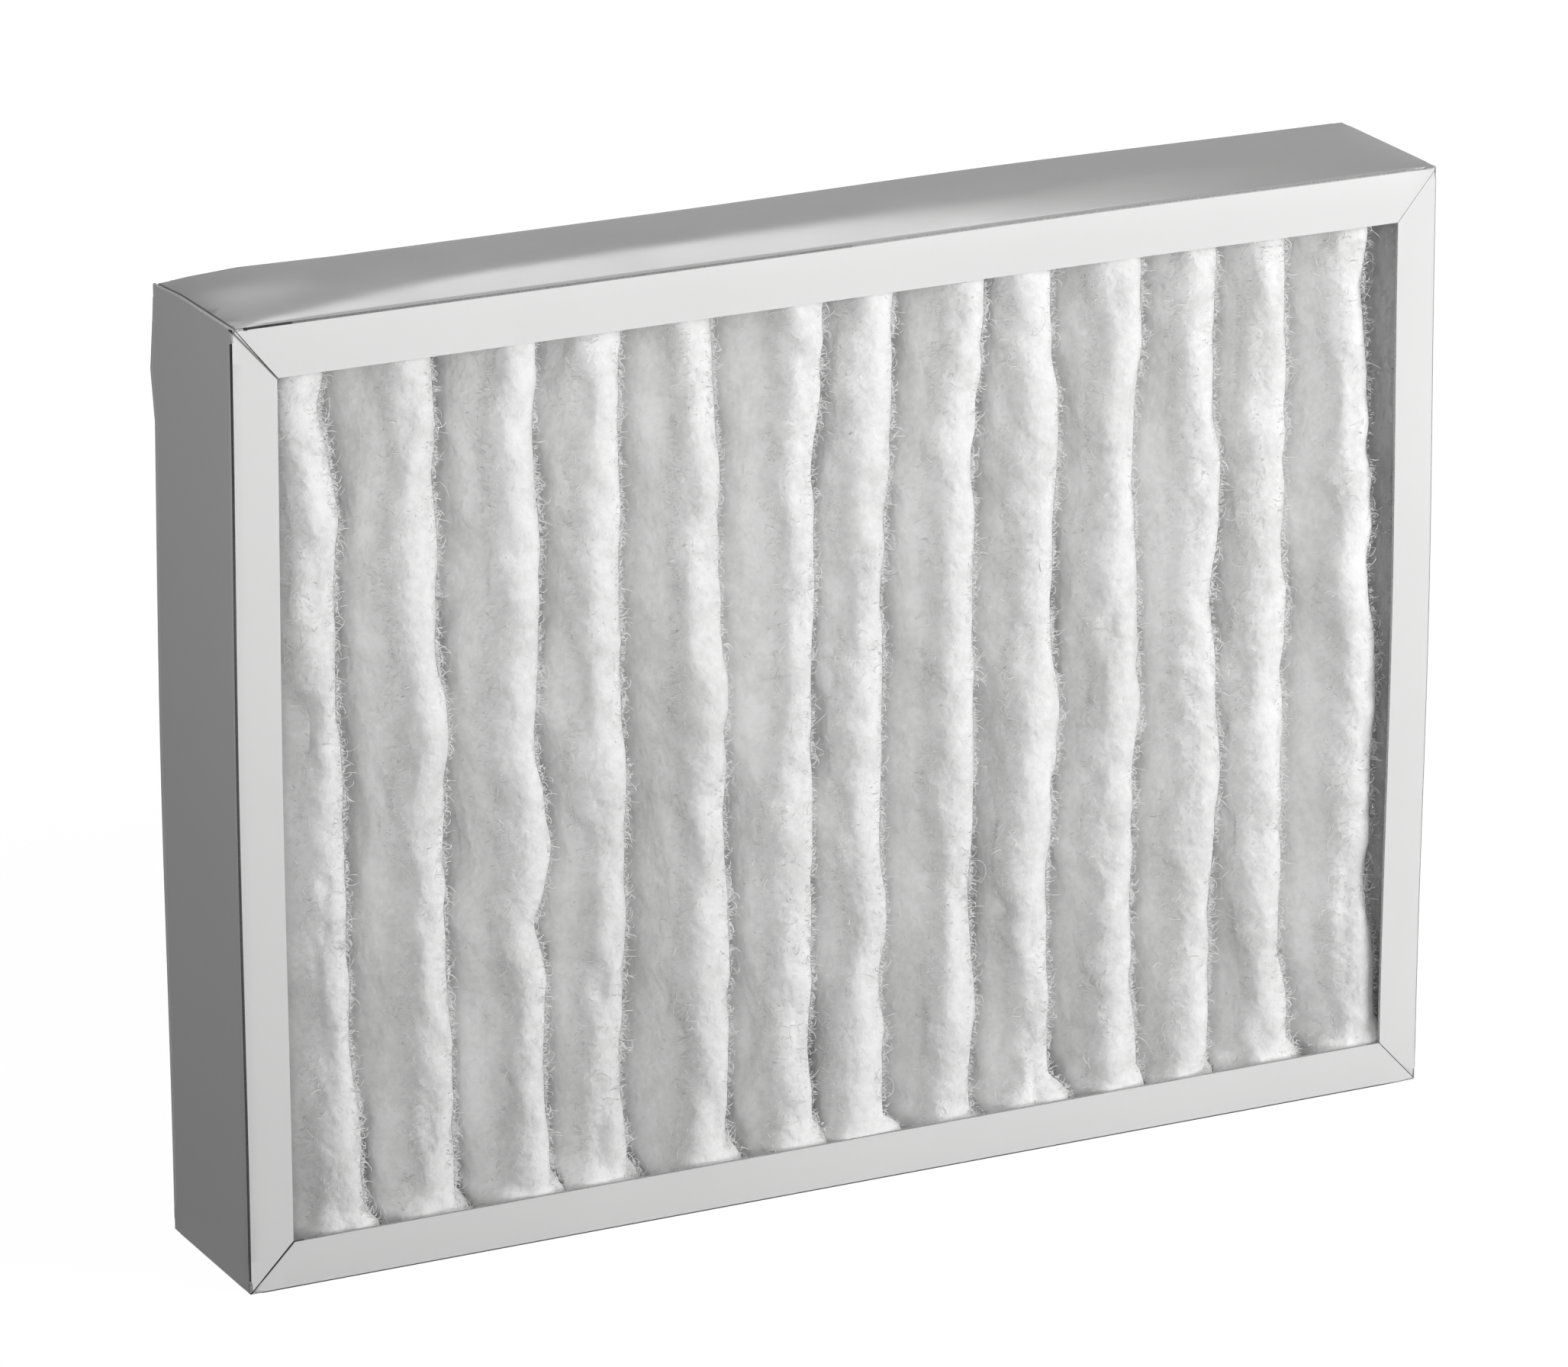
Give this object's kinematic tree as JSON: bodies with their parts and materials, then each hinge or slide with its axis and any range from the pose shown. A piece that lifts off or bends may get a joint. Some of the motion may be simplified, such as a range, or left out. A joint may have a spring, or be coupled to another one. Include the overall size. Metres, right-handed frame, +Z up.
{
  "type": "pleated panel air filter",
  "caption": "Flat rectangular air filter: a mitred card frame, folded from one strip, holds deep vertical pleats of white fleece, open at front and back.",
  "frame": {"origin": "middle of the frame's underside, on the surface that the filter stands on", "axes": "+X across the width, to the right seen from the front; the front face looks along -Y; +Z up"},
  "size_m": [0.305, 0.0446, 0.228],
  "materials": {
    "card": "white coated card, satin",
    "fleece": "soft white polyester fleece, fibrous",
    "adhesive": "milky hot-melt adhesive"
  },
  "bodies": {
    "root": {"card_frame": "card", "pleated_fleece": "fleece", "adhesive_top": "adhesive", "adhesive_bottom": "adhesive", "adhesive_left": "adhesive", "adhesive_right": "adhesive", "joint_adhesive": "adhesive"}
  },
  "joints": []
}
